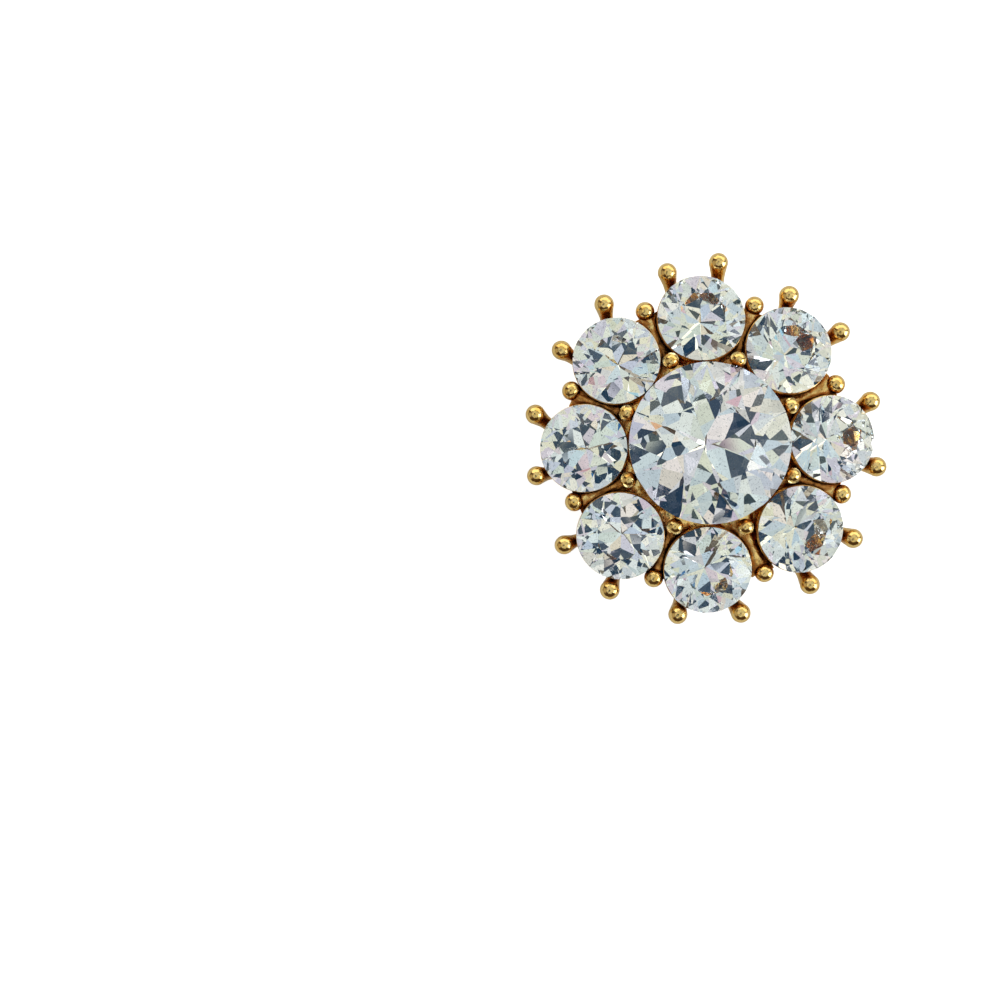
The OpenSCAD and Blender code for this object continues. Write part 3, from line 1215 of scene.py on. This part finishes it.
deselect_all()
bpy.ops.mesh.primitive_plane_add(size=6, location=(0, 0, 0))
floor = bpy.context.object
floor.name = "floor"
paper, tree, shader = new_material("white paper")
fibres = noise(tree, object_place(tree), scale=900, detail=4)
fibre_grey = blend(tree, fibres, DARK_FIBRE, LIGHT_FIBRE)
wire(tree, fibre_grey, shader.inputs["Base Color"])
shader.inputs["Roughness"].default_value = 0.9
shader.inputs["Specular IOR Level"].default_value = 0.1
shader.inputs["Emission Color"].default_value = (1, 1, 1, 1)
for_camera = tree.nodes.new("ShaderNodeLightPath").outputs["Is Camera Ray"]
glow = work_out(tree, "MULTIPLY", for_camera, PAPER_GLOW)
wire(tree, glow, shader.inputs["Emission Strength"])
floor.data.materials.append(paper)
floor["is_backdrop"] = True
print("the paper is", round(floor.dimensions.x), "m wide")

# %% [markdown]
# ## The studio
#
# A mirror shows nothing but its surroundings, so most of this earring's look is the room. The
# room is built as rings of soft light round the zenith. The ceiling is ten pale panels with
# dark seams, and it fills the facets with greys and creams. Small coloured flashes in it stand
# in for the fire that glass splits out of daylight. Lower down, a long pale wall and a grey one
# fill the sides of the balls, a window on the right puts a bright edge on them, and the rest is
# a dim brown room.
#
# Each ring is a Color Ramp read round the compass. Separate lamps would do too, but a ramp's
# stops can all be read and changed in one place.

# %% Rings of light
SLATE = (0.018, 0.05, 0.095)
ROOM = (0.075, 0.048, 0.03)
# The ceiling's panels, anticlockwise from -Y
CEILING = (
    (0.61, 0.68, 0.73),
    (0.74, 0.76, 0.67),
    (0.88, 0.89, 0.83),
    (0.60, 0.68, 0.74),
    (0.77, 0.78, 0.65),
    (0.70, 0.78, 0.80),
    (0.69, 0.65, 0.74),
    (0.80, 0.81, 0.69),
    (0.63, 0.66, 0.76),
    (0.88, 0.90, 0.87),
)
SECTOR = 360 / len(CEILING)
SEAM = 2
SEAM_COLOUR = (0.045, 0.075, 0.09)
# Each stretch of a ring: its middle in degrees anticlockwise from +X, half its length, and its
# colour
FLASHES = (
    (20, 7, (0.42, 0.70, 0.88)),
    (95, 3, (0.04, 0.17, 0.38)),
    (165, 9, (0.62, 0.42, 0.47)),
    (192, 4, (0.46, 0.74, 0.90)),
    (264, 3, (0.9, 0.55, 0.3)),
    (300, 8, (0.66, 0.48, 0.55)),
)
CAMERA_STAND = ((228, 30, SLATE),)
WALL = (
    (78, 62, (1.5, 1.45, 1.25)),
    (188, 24, (0.45, 0.40, 0.33)),
    (343, 17, (4, 4.1, 4.4)),
)
WALL_SOFTNESS = 6


def ramp(tree, place, interpolation, stops):
    """A Color Ramp with its stops, each a place from 0 to 1 and a colour with alpha."""
    node = tree.nodes.new("ShaderNodeValToRGB")
    elements = node.color_ramp.elements
    node.color_ramp.interpolation = interpolation
    elements.remove(elements[1])
    elements[0].position, elements[0].color = stops[0]
    for position, colour in stops[1:]:
        elements.new(position).color = colour
    wire(tree, place, node.inputs["Fac"])
    return node.outputs["Color"], node.outputs["Alpha"]


def turned(azimuth):
    """An azimuth as a share of the circle, counted from -Y, where no stretch passes."""
    return (azimuth + 90) % 360 / 360


ceiling_stops = []
for k, tint in enumerate(CEILING):
    ceiling_stops.append((k / len(CEILING), (*tint, 1)))
    ceiling_stops.append((((k + 1) * SECTOR - SEAM) / 360, (*SEAM_COLOUR, 1)))


def patches(rows):
    """Stops for coloured stretches with nothing between them."""
    stops = [(0, (1, 1, 1, 0))]
    for middle, half, tint in rows:
        stops.append((turned(middle - half), (*tint, 1)))
        stops.append((turned(middle + half), (*tint, 0)))
    return stops


wall_stops = [(0, (*ROOM, 1))]
for middle, half, tint in WALL:
    wall_stops.append((turned(middle - half - WALL_SOFTNESS), (*ROOM, 1)))
    wall_stops.append((turned(middle - half + WALL_SOFTNESS), (*tint, 1)))
    wall_stops.append((turned(middle + half - WALL_SOFTNESS), (*tint, 1)))
    wall_stops.append((turned(middle + half + WALL_SOFTNESS), (*ROOM, 1)))
print("stops in the ceiling's ring:", len(ceiling_stops))

# %% [markdown]
# ## The sky above the earring
#
# A World has no surface, only a colour for each direction. So the rings are laid over each
# other by two angles: the one round the compass, which the ramps read, and the one down from
# the zenith, which says where each ring lies. Round the direction of the camera is a dark slate
# blue disc, and beside it a dark stretch for its stand. A camera close above a jewel keeps
# light from it, and the dark facets and the dark spot in each gold ball come from that.

# %% World
# Degrees down from the zenith at which a ring starts, is full, stops being full, and ends
WALL_BAND = (44, 50, 82, 88)
STAND_BAND = (21, 22, 28, 29)
FLASH_BAND = (10, 11, 15, 16)
# Degrees at which a disc round a direction ends, and at which it is full
GAP_DISC = (46, 43)
CEILING_DISC = (43.5, 42)
CAMERA_DISC = (10, 8.8)
BACKDROP = (0.98, 0.98, 0.98, 1)

world = bpy.data.worlds.new("studio")
bpy.context.scene.world = world
world.use_nodes = True
tree = world.node_tree
ray_direction = tree.nodes.new("ShaderNodeTexCoord").outputs["Generated"]
ray = tree.nodes.new("ShaderNodeSeparateXYZ")
wire(tree, ray_direction, ray.inputs["Vector"])
angle = work_out(tree, "ARCTAN2", ray.outputs["Y"], ray.outputs["X"])
share = work_out(tree, "MULTIPLY_ADD", angle, 1 / math.tau, turned(0))
around = work_out(tree, "FRACT", share)


def angle_from(direction):
    """The angle between the ray and a direction, in degrees."""
    node = tree.nodes.new("ShaderNodeVectorMath")
    node.operation = "DOT_PRODUCT"
    wire(tree, ray_direction, node.inputs[0])
    node.inputs[1].default_value = direction
    return work_out(tree, "DEGREES", work_out(tree, "ARCCOSINE", node.outputs["Value"]))


from_zenith = angle_from((0, 0, 1))
from_camera = angle_from(camera.location.normalized())


def between(low, low_edge, high_edge, high):
    """1 between two angles from the zenith, with soft edges, and 0 elsewhere."""
    rise = soft_step(tree, from_zenith, low, low_edge)
    fall = soft_step(tree, from_zenith, high, high_edge)
    return work_out(tree, "MULTIPLY", rise, fall)


wall, _ = ramp(tree, around, "EASE", wall_stops)
ceiling, _ = ramp(tree, around, "CONSTANT", ceiling_stops)
flash, flash_share = ramp(tree, around, "CONSTANT", patches(FLASHES))
dark, dark_share = ramp(tree, around, "CONSTANT", patches(CAMERA_STAND))
sky = blend(tree, between(*WALL_BAND), (*ROOM, 1), wall)
sky = blend(tree, soft_step(tree, from_zenith, *GAP_DISC), sky, (*SLATE, 1))
sky = blend(tree, soft_step(tree, from_zenith, *CEILING_DISC), sky, ceiling)
dark_share = work_out(tree, "MULTIPLY", dark_share, between(*STAND_BAND))
sky = blend(tree, dark_share, sky, dark)
flash_share = work_out(tree, "MULTIPLY", flash_share, between(*FLASH_BAND))
sky = blend(tree, flash_share, sky, flash)
sky = blend(tree, soft_step(tree, from_camera, *CAMERA_DISC), sky, (*SLATE, 1))
for_camera = tree.nodes.new("ShaderNodeLightPath").outputs["Is Camera Ray"]
backdrop = blend(tree, for_camera, sky, BACKDROP)
wire(tree, backdrop, tree.nodes["Background"].inputs["Color"])
print("the world has", len(tree.nodes), "nodes")

# %% [markdown]
# ## Bounces and tones
#
# Light bounces many times inside a foiled stone, and each bounce that is cut off turns a facet
# black. So the limits are raised well above what a plain scene needs. The Standard view keeps
# the whites white, as in a catalogue picture.

# %% Render settings
scene = bpy.context.scene
scene.view_settings.view_transform = "Standard"
scene.view_settings.look = "None"
scene.cycles.max_bounces = 32
scene.cycles.glossy_bounces = 24
scene.cycles.transmission_bounces = 24
print("light bounces up to", scene.cycles.max_bounces, "times")

# %% [markdown]
# ## The size
#
# The dressed earring's size is printed, in millimetres. The dressed model has to stay
# inside the plain one's box.

# %% Sizes
width, height, depth = (high - low for low, high in zip(*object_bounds()))
print(f"the earring measures {width / MM:.1f} x {height / MM:.1f} x {depth / MM:.1f} mm")
